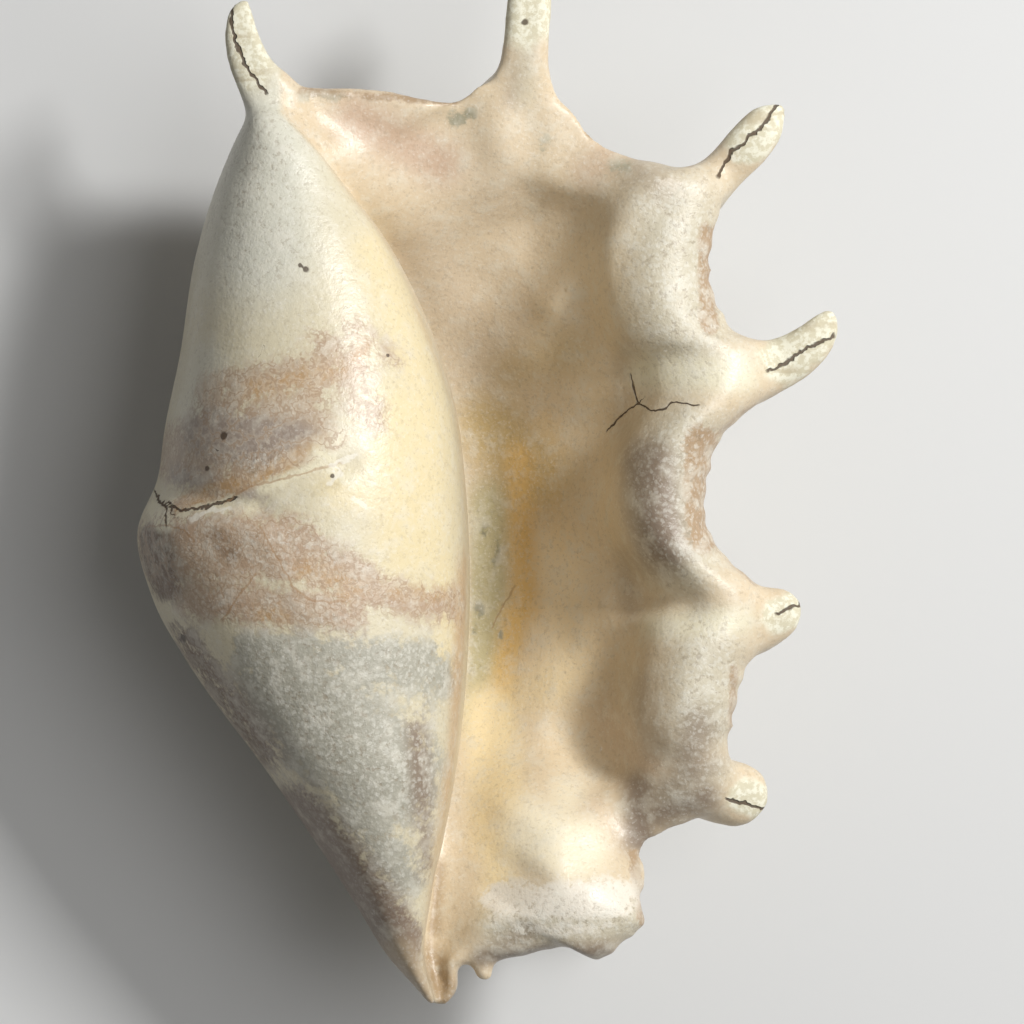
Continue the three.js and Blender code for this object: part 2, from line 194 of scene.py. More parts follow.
def bells(x, y, rows):
    """Bell curves of the distance to each row's line, (rows, points): height times
    exp(-(distance / width)^2)."""
    found = []
    for x0, y0, x1, y1, width, height in rows:
        run = np.array([x1 - x0, y1 - y0])
        t = ((x - x0) * run[0] + (y - y0) * run[1]) / max(run @ run, 1e-9)
        t = np.clip(t, 0, 1)
        away = np.hypot(x - x0 - t * run[0], y - y0 - t * run[1])
        found.append(height * np.exp(-((away / width) ** 2)))
    return np.array(found)


def fold(v, column):
    """Sum over the fingers' folds of height times exp(-((v - place) / width)^2)."""
    return sum(row[column] * np.exp(-(((v - row[0]) / row[1]) ** 2)) for row in FOLDS)


def knobs(x, y):
    """Sum over the knobs of height times exp(-(dx / width across)^2 - (dy / width along)^2)."""
    return sum(
        row[4] * np.exp(-(((x - row[0]) / row[2]) ** 2) - ((y - row[1]) / row[3]) ** 2) for row in KNOBS
    )


# The ring of the outer skin: smooth steps between two of its points, and the points, counted from
# the left side, where the mouth side ends, the rim lies and the back begins and ends. Knobs, cords
# and relief fade out over FADE points at these ends, and the nicks of the rim over NICK_SPREAD.
OUTSIDE_RINGS, RING_STEPS = 420, 8
FRONT_END, RIM_POINT, BACK_START, BACK_END = 19.5, 19, 20.5, 28
FADE, NICK_SPREAD = 1.5, 1.6
# Spiral cords of the back: height, and spacing in v.
CORDS = [(0.8, 0.034), (0.35, 0.0125)]


def outside():
    """The outer skin: an oval arch over the body from its left side to the columella edge, down
    into the mouth, up the flared lip to its nicked rim, and back round under the shell, with the
    knobs and cords added to the back and the relief to the mouth side."""
    v = np.linspace(0, 1, OUTSIDE_RINGS)
    side, crest, edge, floor, slope, foot, pad, rim, back = stations(v)[3]
    drop, dive = side - back, floor - edge
    undercut = np.clip(-dive / 20, 0, 1)
    pad, foot, slope = pad - 0.3 * fold(v, 2), foot + 0.6 * fold(v, 2), slope + 0.15 * fold(v, 2)
    under = np.minimum(pad, rim) - LIP_THICKNESS - fold(v, 3)
    rows = []
    for turn in np.radians([0, 18, 38, 62, 90, 118, 142, 162, 178]):
        share = 0.47 + (0.53 if np.cos(turn) > 0 else 0.47) * np.cos(turn)
        base = edge + share * (side - edge)
        rows.append((-share, base + (crest - base) * np.sin(turn) ** 0.9))
    rows += [
        (0.008, edge - 5 * undercut), (-0.01, edge - 13 * undercut), (-0.05, edge + 0.75 * dive),
        (-0.07, floor + 1), (0.08, floor),
        (0.32, slope), (0.54, foot), (0.66, foot + 0.72 * (pad - foot)), (0.8, pad),
        (0.93, 0.65 * pad + 0.35 * rim), (1, rim - RIM_THICKNESS / 2),
        (0.96, rim - RIM_THICKNESS - 1), (0.8, under - 4),
        (0.56, np.maximum(foot - LIP_THICKNESS - 4 - fold(v, 3), back + 4)),
        (0.3, np.maximum(slope - LIP_THICKNESS - 4, back + 2)),
        (0.02, back + 0.5), (-0.35, back - 1), (-0.66, back + 0.1 * drop), (-0.9, back + 0.5 * drop),
    ]
    rings = closed_curve(loops_from(v, rows), RING_STEPS)
    x, y, z = rings[:, :, 0], rings[:, :, 1], rings[:, :, 2]
    point = np.arange(rings.shape[1])[None, :] / RING_STEPS
    on_back = np.clip((point - BACK_START) / FADE, 0, 1) * np.clip((BACK_END - point) / FADE, 0, 1)
    on_front = np.clip(point / FADE, 0, 1) * np.clip((FRONT_END - point) / FADE, 0, 1)
    cords = sum(height * np.cos(2 * np.pi * v / spacing)[:, None] for height, spacing in CORDS)
    nick = 0.008 * np.sin(2 * np.pi * 61 * v)
    nick = nick + 0.006 * np.sin(2 * np.pi * 97 * v + 1) * np.sin(2 * np.pi * 7 * v)
    on_rim = np.clip(1 - np.abs(point - RIM_POINT) / NICK_SPREAD, 0, 1)
    _, columella, lip, _ = stations(v)
    rings[:, :, :2] += (on_rim * nick[:, None])[:, :, None] * (lip - columella)[:, None, :]
    rings[:, :, 2] = z - (knobs(x, y) + cords) * on_back + bells(x, y, RELIEF).sum(0) * on_front
    return closed_skin("shell", rings)


# The hollow's rings, the stretch of v that it takes up, and steps between two points of a ring.
HOLLOW_START, HOLLOW_LENGTH = 0.2, 0.64
HOLLOW_RINGS, HOLLOW_STEPS = 160, 10


def hollow():
    """The hollow of the body whorl: a wall's thickness inside the outer skin, swelling from a point
    at each end as the root of 1 - (2 t - 1)^4, with its right side standing in the open mouth."""
    t = np.linspace(0, 1, HOLLOW_RINGS)
    v = HOLLOW_START + HOLLOW_LENGTH * t
    side, crest, edge, floor, slope, foot, pad, rim, back = stations(v)[3]
    rise, drop = crest - side, side - back
    rows = [
        (-0.02, floor + 7), (-0.1, floor - 0.5), (-0.35, back + WALL), (-0.62, back + WALL + 0.1 * drop),
        (-0.82, back + WALL + 0.45 * drop), (-0.89, side + 4), (-0.82, side + 0.6 * rise - 4),
        (-0.66, side + 0.86 * rise - WALL), (-0.43, crest - WALL - 2),
        (-0.2, edge + 0.7 * (crest - edge) - WALL - 3), (-0.06, edge - WALL - 3),
        (0.02, edge - WALL - 10),
    ]
    rings = closed_curve(loops_from(v, rows), HOLLOW_STEPS)
    anchor = loops_from(v, [(0.02, floor + 0.5 * (edge - floor))])
    swelling = np.sqrt(np.maximum(1 - np.abs(2 * t - 1) ** 4, 0.0004))[:, None, None]
    return closed_skin("hollow", anchor + swelling * (rings - anchor))


# Horns and fingers, root first: rows of x, y, z, half width. Each is flatter than it is wide, with a
# gutter on top: its depth is a share of the half height, its width an angle.
HORN_FLATTENING = 0.72
HORN_RINGS, HORN_SIDES = 40, 36
GUTTER_DEPTH, GUTTER_WIDTH = 0.25, 0.5
HORNS = [
    [[-52, 94, 78, 8], [-59.6, 104.5, 83, 8.2], [-63.5, 110.2, 84, 6.4], [-66.2, 116.5, 83, 5.5],
     [-67.5, 122.4, 81, 4.6], [-67.3, 128, 79, 3.2], [-65.8, 131.6, 78, 0.9]],
    [[7, 92, 62, 8], [10.4, 104, 71, 9.0], [11.4, 112, 75, 7.4], [12.2, 121, 76, 6.5],
     [13, 131.3, 76, 6.3], [14, 140, 74, 5.2], [15, 147, 72, 3.4], [15.6, 151, 71, 0.9]],
    [[58, 74, 62, 8], [67.6, 83.8, 70, 6.6], [74.6, 91.2, 73, 6.8], [80.6, 98.4, 73, 4.9],
     [84.3, 102.4, 72, 1.0]],
    [[66, 24, 60, 10], [79, 27.8, 69, 8.2], [89, 32.8, 72, 6.8], [94, 37.6, 73, 5.4],
     [96.6, 42.6, 73, 3.2], [97.1, 45.2, 73, 0.9]],
    [[66, -43, 60, 11], [76, -42.5, 68, 10], [83, -40.4, 71, 7.9], [87, -39.2, 72, 5.8],
     [89.9, -38.6, 73, 1.2]],
    [[58, -88, 56, 9], [68, -91, 63, 9.6], [74.5, -92.4, 66, 8.8], [78, -93.4, 67, 6.2],
     [80.5, -94.2, 67, 1.2]],
]


def horn(rows):
    """A finger: an oval carried along the smooth path through its rows. Its height is the sine of
    the angle times 1 - depth exp(-((angle - 90 degrees) / width)^2), which presses in the gutter."""
    rows = np.array(rows, float)
    gaps = np.linalg.norm(np.diff(rows[:, :3], axis=0), axis=1)
    at = np.concatenate([[0], np.cumsum(gaps)])
    t = np.linspace(0, 1, HORN_RINGS)
    read = through(np.column_stack([at / at[-1], rows]), t)
    path, half = read[:, :3], np.maximum(read[:, 3], 0.5)
    along = np.gradient(path, axis=0)
    along /= np.linalg.norm(along, axis=1, keepdims=True)
    across = np.cross([0, 0, 1], along)
    across /= np.linalg.norm(across, axis=1, keepdims=True)
    up = np.cross(along, across)
    angle = np.linspace(0, 2 * np.pi, HORN_SIDES, endpoint=False)
    gutter = 1 - GUTTER_DEPTH * np.exp(-((angle - np.pi / 2) / GUTTER_WIDTH) ** 2)
    wide = np.cos(angle)[None, :, None] * (half[:, None] * across)[:, None, :]
    high = (np.sin(angle) * gutter)[None, :, None] * (HORN_FLATTENING * half[:, None] * up)[:, None, :]
    return closed_skin("horn", path[:, None, :] + wide + high)


# The little knob beside the canal: x, y, z and its three radii.
CANAL_KNOB = [0.1, -141.6, 69, 3.4, 3.4, 3.4]
KNOB_SIDES, KNOB_RINGS = 40, 24


def knob(row):
    """A ball, (cos tilt cos turn, -cos tilt sin turn, sin tilt), times its three radii."""
    x, y, z, across, along, height = row
    turn = np.linspace(0, 2 * np.pi, KNOB_SIDES, endpoint=False)
    tilt = np.linspace(-np.pi / 2, np.pi / 2, KNOB_RINGS)[1:-1]
    ring = np.stack([np.cos(turn), -np.sin(turn), np.zeros_like(turn)], axis=-1)
    ball = np.cos(tilt)[:, None, None] * ring[None]
    ball[:, :, 2] = np.sin(tilt)[:, None]
    return closed_skin("knob", ball * [across, along, height] + [x, y, z])


# The spire stands on a slant between two points. Its profile has rows of height along that axis and
# radius, and steps in at each turn of the coil.
SPIRE_FOOT = np.array([-50.0, 38.0, 38.0])
SPIRE_TIP = np.array([-57.0, 92.0, 54.0])
SPIRE_PROFILE = np.array([
    [0, 24], [8, 25], [13, 20], [20, 20.5], [26, 15], [32, 15.5], [38, 10], [43, 10], [51, 4], [54, 1],
], float)
SPIRE_RINGS, SPIRE_SIDES = 70, 72


def spire():
    """The low spire: foot + along axis + radius (cos turn across + sin turn up)."""
    axis = (SPIRE_TIP - SPIRE_FOOT) / np.linalg.norm(SPIRE_TIP - SPIRE_FOOT)
    across = np.cross([0, 0, 1], axis)
    across /= np.linalg.norm(across)
    up = np.cross(axis, across)
    along = np.linspace(0, SPIRE_PROFILE[-1, 0], SPIRE_RINGS)
    radius = through(SPIRE_PROFILE, along)
    turn = np.linspace(0, 2 * np.pi, SPIRE_SIDES, endpoint=False)
    around = np.cos(turn)[:, None] * across + np.sin(turn)[:, None] * up
    rings = SPIRE_FOOT + along[:, None, None] * axis + radius[:, :, None] * around[None]
    return closed_skin("spire", rings)


def applied(piece, kind, **settings):
    """Adds one modifier to the piece and applies it to its mesh."""
    modifier = piece.modifiers.new(kind.lower(), kind)
    for name, value in settings.items():
        setattr(modifier, name, value)
    graph = bpy.context.evaluated_depsgraph_get()
    mesh = bpy.data.meshes.new_from_object(piece.evaluated_get(graph))
    piece.modifiers.clear()
    piece.data = mesh


# The parts are joined, remeshed as one skin and smoothed, then the hollow is cut out of them.
VOXEL = 0.9
shell = outside()
joined = [horn(rows) for rows in HORNS] + [knob(CANAL_KNOB), spire()]
with bpy.context.temp_override(active_object=shell, selected_editable_objects=[shell] + joined):
    bpy.ops.object.join()
applied(shell, "REMESH", mode="VOXEL", voxel_size=VOXEL * MM)
applied(shell, "SMOOTH", factor=0.5, iterations=6)
inside = hollow()
applied(shell, "BOOLEAN", operation="DIFFERENCE", object=inside, solver="MANIFOLD")
applied(shell, "REMESH", mode="VOXEL", voxel_size=VOXEL * MM)
applied(shell, "SMOOTH", factor=0.5, iterations=4)

# Where fingers leave the lip, and where the top of the mouth folds, the growth layers run over
# the joint without a step: rows of x, y, x, y, width, strength.
BLENDS = [
    [-55, 97, -60, 104, 8, 1], [8, 94, 11, 106, 10, 1], [60, 77, 69, 85, 9, 1], [68, 25, 80, 28, 10, 1],
    [68, -43, 80, -42, 10, 1], [60, -89, 70, -92, 10, 1], [-30, 84, -8, 97, 10, 1], [-15, 66, 44, 80, 10, 1],
    [-1, -142, 1, -138, 4, 1], [30, -66, 52, -88, 12, 0.9],
]
EASING_SHARE, EASING_TURNS = 0.6, 40
FACES_KEPT = 94000


def vertices(piece):
    """The piece's vertices in millimetres, (count, 3)."""
    flat = np.empty(len(piece.data.vertices) * 3)
    piece.data.vertices.foreach_get("co", flat)
    return flat.reshape(-1, 3) / MM


def eased(place, edges, share, turns):
    """Moves every vertex its share of the way to the mean of its neighbours, `turns` times."""
    a, b = edges.T
    ends, other = np.concatenate([a, b]), np.concatenate([b, a])
    count = np.bincount(ends, minlength=len(place))[:, None]
    for _ in range(turns):
        total = np.stack([np.bincount(ends, place[other, k], len(place)) for k in range(3)], axis=1)
        place = place + share[:, None] * (total / count - place)
    return place


place = vertices(shell)
edges = np.empty(len(shell.data.edges) * 2, int)
shell.data.edges.foreach_get("vertices", edges)
share = EASING_SHARE * bells(place[:, 0], place[:, 1], BLENDS).max(0)
place = eased(place, edges.reshape(-1, 2), share, EASING_TURNS)
shell.data.vertices.foreach_set("co", (place * MM).ravel())
applied(shell, "DECIMATE", ratio=min(1, FACES_KEPT / len(shell.data.polygons)))

# The lowest knobs are worn flat where the shell lies on them.
place = vertices(shell)
place[:, 2] = np.maximum(place[:, 2], 0)
middle = (place.min(0) + place.max(0)) / 2
centred = place - [middle[0], middle[1], 0]
shell.data.vertices.foreach_set("co", (centred * MM).ravel())
shell.data.polygons.foreach_set("use_smooth", np.ones(len(shell.data.polygons), bool))
shell.data.update()

# Where the shell is stained, frosted or rubbed, and where light and shade are painted on, seen from above: a
# colour, 0 to 255 a channel, how patchy its edge is, and rows of x, y, x, y, width, strength. Later layers
# lie over earlier ones.
BODY_LAYERS = {
    "grey": ((218, 215, 198), 0.4, [[-62, 92, -62, 62, 20, 0.9], [-76, 30, -80, 15, 8, 0.5]]),
    "cream": ((233, 216, 173), 0.4, [[-19, -20, -19, 14, 13, 0.9], [-30, 60, -16, 22, 8, 0.7],
                                     [-12, -12, -9, -55, 5, 0.7], [-40, -6, -20, -10, 8, 0.6]]),
    "fawn": ((190, 168, 142), 0.7, [[-74, 20, -36, 28, 9, 0.7], [-84, 4, -50, 12, 11, 0.85],
                                    [-44, 34, -30, 14, 8, 0.6], [-36, 40, -24, 30, 6, 0.5]]),
    "tan": ((184, 158, 132), 0.65, [[-88, -22, -52, -22, 11, 0.95], [-52, -22, -34, -31, 8, 0.85],
                                   [-34, -33, -8, -38, 7, 0.75], [-80, -36, -36, -40, 7, 0.8]]),
    "frost": ((178, 174, 158), 0.65, [[-54, -62, -26, -84, 19, 0.95], [-64, -50, -16, -52, 7, 0.8],
                                     [-34, -54, -10, -58, 8, 0.75], [-34, -95, -22, -112, 10, 0.7],
                                     [-58, 4, -64, 0, 4.5, 1]]),
    # Mauve-beige of the lower body, partly its own tone and partly painted shade where the lower left side
    # turns away from the light.
    "mauve_and_shade": ((142, 124, 108), 0.6, [[-52, -96, -24, -132, 10, 0.95], [-18, -70, -15, -112, 5, 0.5],
                                     [-82, -48, -60, -80, 8, 0.6], [-34, -124, -22, -138, 7, 0.7]]),
    "lilac": ((164, 148, 134), 0.7, [[-76, 10, -52, 6, 8, 0.9], [-84, -2, -60, -6, 5, 0.6]]),
    # Dark umber along the crack, and painted shade along the left edge of the body where it turns away from
    # the light.
    "umber_and_shade": ((118, 94, 72), 0.7, [[-92, -20, -88, -32, 6, 0.95], [-86, -44, -62, -80, 4, 0.5],
                                   [-93, -10, -84, -12, 3, 0.5], [-74, -18, -68, -24, 4, 0.4]]),
    "rust": ((188, 154, 114), 0.8, [[-39.5, 8, -60, -2, 3, 0.8], [-60, -2, -84, -10, 3, 0.75],
                                    [-64, 21, -40, 27, 2.6, 0.75], [-48, -29, -36, -33, 4, 0.7],
                                    [-60, -40, -54, -41, 3, 0.6], [-34, -31, -9, -34, 3, 0.6],
                                    [-36, 27, -32, 33, 2.5, 0.6]]),
    "chalk_line": ((236, 226, 194), 0.7, [[-60, -6, -40, 3, 2.4, 0.6], [-44, 4, -36, -4, 4, 0.6],
                                          [-40, 8, -39, 8, 2, 0.8], [-92, -11, -88, -15, 3, 0.9]]),
    "peach_edge": ((208, 178, 140), 0.3, [[-5, -25, -8, -84, 2.6, 0.7], [-8, -84, -13, -128, 3.5, 0.8],
                                          [-8, 20, -19, 46, 1.6, 0.4]]),
    "tip": ((184, 164, 136), 0.5, [[-24, -136, -14, -150, 7, 0.8]]),
}
LIP_LAYERS = {
    "mouth_beige": ((238, 216, 178), 0.2, [[24, 50, 22, -50, 18, 0.85], [20, -50, 24, -80, 14, 0.5]]),
    "pink": ((228, 209, 180), 0.3, [[-30, 96, 0, 80, 16, 0.7], [10, 60, 20, 40, 18, 0.5],
                                    [-14, 72, -6, 50, 9, 0.6]]),
    "rose": ((204, 176, 150), 0.4, [[38, 92, 30, 84, 8, 0.5], [-36, 98, -12, 86, 8, 0.75],
                                    [36, -72, 46, -84, 9, 0.4], [30, -96, 38, -104, 6, 0.4]]),
    # Painted shadow: the golden-brown shade that the lip casts into the mouth.
    "painted_shadow": ((206, 180, 128), 0.3, [[2, 12, 14, -2, 13, 0.8], [8, 28, 24, 34, 9, 0.5]]),
    # Painted light: a pale pool of light on the mouth floor, in and just above the lip's shadow.
    "painted_light_pool": ((252, 230, 188), 0.3, [[20, -24, 23, -56, 9, 0.85], [16, 30, 18, 44, 7, 0.4]]),
    "moss": ((196, 184, 142), 0.4, [[2, -10, 0, -70, 8, 0.9]]),
    "ochre": ((238, 198, 126), 0.4, [[10, 4, 12, -40, 5, 0.75], [9, -42, 5, -66, 5, 0.75],
                                     [18, 14, 22, -20, 6, 0.3]]),
    "orange": ((255, 232, 182), 0.3, [[2, -70, 4, -104, 9, 0.95], [8, -66, 18, -62, 9, 0.5],
                                       [4, -104, 5, -124, 7, 0.7]]),
    # Painted highlight: the apron valley's wall that faces the key light, drawn brighter.
    "painted_highlight": ((246, 234, 204), 0.4, [[14, -102, 26, -106, 11, 0.9], [24, -92, 22, -98, 8, 0.6]]),
    "lip_frost": ((206, 197, 174), 0.5, [[54, 70, 56, 40, 18, 0.85], [56, 8, 56, -24, 14, 0.8],
                                         [62, -50, 62, -70, 13, 0.8], [6, -128, 40, -126, 9, 0.8],
                                         [66, -84, 52, -92, 7, 0.6]]),
    # Painted shade on the steep foot of the pads, in the creases by the horns and in the apron's valley, and
    # the lip's own purple-brown along the bottom edge.
    "shade_and_purple_brown": ((146, 130, 114), 0.4, [[40, 34, 39, 0, 5, 0.3], [40, -24, 42, -40, 5, 0.35],
                                    [46, 2, 50, -22, 9, 0.85], [60, -72, 58, -84, 8, 0.6],
                                    [44, 84, 50, 79, 8, 0.4], [9, 104, 13, 122, 5, 0.45],
                                    [44, -62, 50, -78, 9, 0.35], [64, -82, 48, -92, 6, 0.5],
                                    [44, -104, 44, -90, 6, 0.8], [62, -92, 46, -98, 6, 0.7],
                                    [0, -137, 34, -135, 4, 0.7], [6, -134, 12, -130, 6, 0.5]]),
    "ridge": ((234, 226, 198), 0.4, [[46, 27, 72, 26, 6, 0.8], [48, -44, 72, -42, 5, 0.7],
                                     [12, 124, 12, 104, 5, 0.4]]),
    "rim": ((178, 152, 122), 0.8, [[61, 7, 62, -18, 6, 1], [63, 66, 63, 40, 3.6, 0.85],
                                   [-50, 105, -8, 103, 2.2, 0.7], [30, 94, 58, 86, 2.2, 0.7],
                                   [70, -56, 70, -78, 2.2, 0.6], [42, -108, 45, -128, 2.4, 0.7],
                                   [66, 10, 76, 18, 2, 0.5], [66, -22, 76, -32, 2, 0.5]]),
    "lichen": ((166, 160, 136), 0.8, [[-8, 98, -4, 99, 4, 0.6], [36, 84, 40, 85, 4, 0.5],
                                      [17, 90, 18, 92, 3, 0.5], [-50, 103, -40, 103, 3, 0.4]]),
    # Painted light: a paler copy of the lip's lime that lifts the shaded foot of the apron.
    "painted_light_apron": ((240, 231, 214), 0.6, [[4, -121, 38, -120, 7, 0.8], [10, -129, 36, -128, 4, 0.5]]),
    "canal": ((172, 148, 116), 0.4, [[-20, -134, -10, -148, 6, 0.9], [-13, -112, -14, -130, 3, 0.7]]),
    "smudge": ((142, 138, 112), 0.7, [[0.3, -17, 0.3, -18, 2, 0.6], [-1.6, -39, -1.4, -41, 2, 0.7],
                                      [-2.6, -45, -2.5, -47, 1.6, 0.6], [5, -47, 5, -48, 1.4, 0.6],
                                      [4, -20, 3, -26, 2, 0.5]]),
}
# The bare ends of the fingers, as rows of the same kind.
FINGERS = [
    [-66, 112, -66, 130, 9, 1], [12, 128, 15, 150, 12, 1], [74, 91, 84, 102, 7, 1],
    [85, 31, 97, 44, 9, 1], [83, -41, 90, -38, 6.5, 1], [74, -92, 80, -94, 6.5, 1],
]

# Shares from 0 to 1 at each vertex. The body lies left of the columella edge. The front isn't turned
# down, and on the body it lies higher than its side. The hollow lies along the cut-out's wall.
BODY_SIDE, BODY_FADE = 40, 10
HOLLOW_REACH, HOLLOW_FADE = 2.6, 1.2
x, y, z = place.T
edge = through(COLUMELLA_EDGE, np.linspace(0, 1, 400))
on_body = np.clip(0.5 + (np.interp(y, edge[:, 1], edge[:, 0]) - x) / 2.0, 0, 1)
normals = np.empty(len(place) * 3, np.float32)
shell.data.vertex_normals.foreach_get("vector", normals)
normals = normals.reshape(-1, 3)
faces_up = np.clip((normals[:, 2] + 0.45) / 0.5, 0, 1)
front = faces_up * np.clip((z - BODY_SIDE + 60 * (1 - on_body)) / BODY_FADE, 0, 1)
wall = BVHTree.FromObject(inside, bpy.context.evaluated_depsgraph_get())
away = np.array([wall.find_nearest(point)[3] for point in (place * MM).tolist()]) / MM
hollowed = np.clip((HOLLOW_REACH - away) / HOLLOW_FADE, 0, 1)
bpy.data.objects.remove(inside)


def mark(name, values, kind="FLOAT", field="value"):
    """Stores one number, vector or colour for every vertex of the shell."""
    layer = shell.data.attributes.new(name, kind, "POINT")
    layer.data.foreach_set(field, np.ascontiguousarray(values, dtype=np.float32).ravel())


def lime(red, green, blue):
    """A daylight colour, 0 to 255 a channel, as linear light: (c / 255)^2.2."""
    return tuple((channel / 255) ** 2.2 for channel in (red, green, blue)) + (1.0,)


def rise(value, low, high):
    """0 below low, 1 above high, and t^2 (3 - 2 t) between."""
    t = np.clip((value - low) / (high - low), 0, 1)
    return t * t * (3 - 2 * t)


def wash(under, amount, paint):
    """A colour laid over the colours of the vertices: under + amount (paint - under)."""
    return under + amount[:, None] * (np.array(lime(*paint)) - under)


# Smooth stains and smooth painted light and shade are mixed at the vertices. Those as patchy as RAGGED make a
# second coat, whose edge the fine noise tears when the material lays it over the first.
RAGGED = 0.6
SMOOTH_EDGE, RAGGED_EDGE = (0.05, 0.85), (0.12, 0.6)
LIP_GROUND, BODY_GROUND = (222, 202, 170), (220, 209, 179)
first = wash(wash(np.ones((len(place), 4)), np.ones(len(place)), LIP_GROUND), on_body, BODY_GROUND)
second, torn_edge = first, np.zeros(len(place))
for zones, side in ((BODY_LAYERS, on_body), (LIP_LAYERS, 1 - on_body)):
    for name, (paint, patchy, rows) in zones.items():
        amount = bells(x, y, rows).max(0) * side * front * (1 - hollowed)
        if patchy < RAGGED:
            first = wash(first, rise(amount, *SMOOTH_EDGE), paint)
            second = wash(second, rise(amount, *SMOOTH_EDGE), paint)
        else:
            second = wash(second, rise(amount, *RAGGED_EDGE), paint)
            torn_edge = np.maximum(torn_edge, amount)
mark("place", place, "FLOAT_VECTOR", "vector")
mark("first_coat", first, "FLOAT_COLOR", "color")
mark("second_coat", second, "FLOAT_COLOR", "color")
mark("torn_edge", torn_edge)

# Masks that the material reads: frosting, the flaked band, the fingers' ends and the rubbed knobs.
RUBBED_HEIGHT = 20
both = {**BODY_LAYERS, **LIP_LAYERS}
etched = {"frost": 1.0, "lip_frost": 1.0, "grey": 0.8, "tan": 0.7}
mark("etched", np.max([share * bells(x, y, both[name][2]).max(0) for name, share in etched.items()], axis=0))
banded = np.max([bells(x, y, both[name][2]).max(0) for name in ("tan", "fawn", "rust")], axis=0)
mark("banded", banded * on_body * front)
mark("front", front)
mark("hollowed", hollowed)
mark("finger", bells(x, y, FINGERS).max(0))
mark("knobs", knobs(x, y) / RUBBED_HEIGHT * (1 - front))

enamel = bpy.data.materials.new("shell")
enamel.use_nodes = True
tree = enamel.node_tree
shader = tree.nodes["Principled BSDF"]


def put(socket, value):
    """Sets a socket to a number or colour, or links it to another node's socket."""
    if isinstance(value, bpy.types.NodeSocket):
        tree.links.new(value, socket)
    else:
        socket.default_value = value


def attribute(name, output="Fac"):
    """One of the shell's own attributes."""
    node = tree.nodes.new("ShaderNodeAttribute")
    node.attribute_name = name
    return node.outputs[output]


def maths(operation, *numbers):
    """One number worked out of one, two or three."""
    node = tree.nodes.new("ShaderNodeMath")
    node.operation = operation
    for socket, value in zip(node.inputs, numbers):
        put(socket, value)
    return node.outputs[0]


def step(value, low, high, top=1.0):
    """Rises smoothly from 0 to `top` as the value goes from low to high."""
    node = tree.nodes.new("ShaderNodeMapRange")
    node.interpolation_type = "SMOOTHSTEP"
    for name, number in (("Value", value), ("From Min", low), ("From Max", high), ("To Max", top)):
        put(node.inputs[name], number)
    return node.outputs["Result"]


def blend(factor, under, over):
    """One colour laid over another: under + factor (over - under)."""
    node = tree.nodes.new("ShaderNodeMix")
    node.data_type = "RGBA"
    put(node.inputs["Factor"], factor)
    put(node.inputs[6], under)
    put(node.inputs[7], over)
    return node.outputs[2]


def noise(size, detail=3.0, rough=0.55, stretch=None):
    """Cloudy noise, about 0 to 1, whose blotches are `size` millimetres across."""
    node = tree.nodes.new("ShaderNodeTexNoise")
    node.inputs["Scale"].default_value = 1 / size
    node.inputs["Detail"].default_value = detail
    node.inputs["Roughness"].default_value = rough
    spot = where
    if stretch:
        scale = tree.nodes.new("ShaderNodeVectorMath")
        scale.operation = "MULTIPLY"
        put(scale.inputs[0], where)
        scale.inputs[1].default_value = stretch
        spot = scale.outputs[0]
    put(node.inputs["Vector"], spot)
    return node.outputs["Fac"]


# Noises that the finishes below share, from the widest blotches to the finest grain.
where = attribute("place", "Vector")
cloud = noise(26, 2)
patch = noise(6, 3, 0.62)
fleck = noise(1.9, 3, 0.68)
grain = noise(0.9, 1, 0.6)
ragged = maths("MULTIPLY_ADD", maths("SUBTRACT", fleck, 0.5), 0.7, patch)
streak = noise(7, 2, 0.6, stretch=(0.3, 1.6, 0.6))
growth = noise(5, 1, 0.5, stretch=(1.8, 0.16, 0.5))

# Enamel of the mouth side with its stains and its painted light and shade.
torn = maths("MULTIPLY_ADD", maths("SUBTRACT", ragged, 0.5), 1.1, attribute("torn_edge"))
colour = blend(step(torn, 0.28, 0.62), attribute("first_coat", "Color"), attribute("second_coat", "Color"))
colour = blend(step(patch, 0.45, 0.75, 0.3), colour, lime(240, 232, 210))

# White frosting: the outer skin of the enamel is etched into small cloudy islands.
frosted_here = maths("MULTIPLY", attribute("etched"), attribute("front"))
frosted = maths("MAXIMUM", frosted_here, maths("MULTIPLY", attribute("front"), 0.28))
cells = tree.nodes.new("ShaderNodeTexVoronoi")
cells.inputs["Scale"].default_value = 0.78
warped = tree.nodes.new("ShaderNodeVectorMath")
warped.operation = "MULTIPLY_ADD"
warp = tree.nodes.new("ShaderNodeCombineXYZ")
for socket, value in zip(warp.inputs, (patch, fleck, grain)):
    put(socket, value)
put(warped.inputs[0], warp.outputs["Vector"])
warped.inputs[1].default_value = (6, 3, 1.5)
put(warped.inputs[2], where)
put(cells.inputs["Vector"], warped.outputs[0])
chance = tree.nodes.new("ShaderNodeSeparateColor")
put(chance.inputs["Color"], cells.outputs["Color"])
islands = maths("MULTIPLY", step(cells.outputs["Distance"], 0.7, 0.3), step(chance.outputs["Red"], 0.25, 0.7))
FROST_HAZE, FROST_WHITE, FROST_PIT = (226, 222, 208), (232, 229, 216), (146, 130, 108)
for mask, share, paint in (
    (step(patch, 0.5, 0.66), 0.45, FROST_HAZE), (islands, 0.5, FROST_WHITE),
    (step(fleck, 0.46, 0.34), 0.55, FROST_PIT),
):
    colour = blend(maths("MULTIPLY", mask, maths("MULTIPLY", frosted, share)), colour, lime(*paint))
colour = blend(step(grain, 0.62, 0.72, 0.22), colour, lime(250, 246, 236))
colour = blend(step(grain, 0.36, 0.28, 0.2), colour, lime(150, 132, 108))

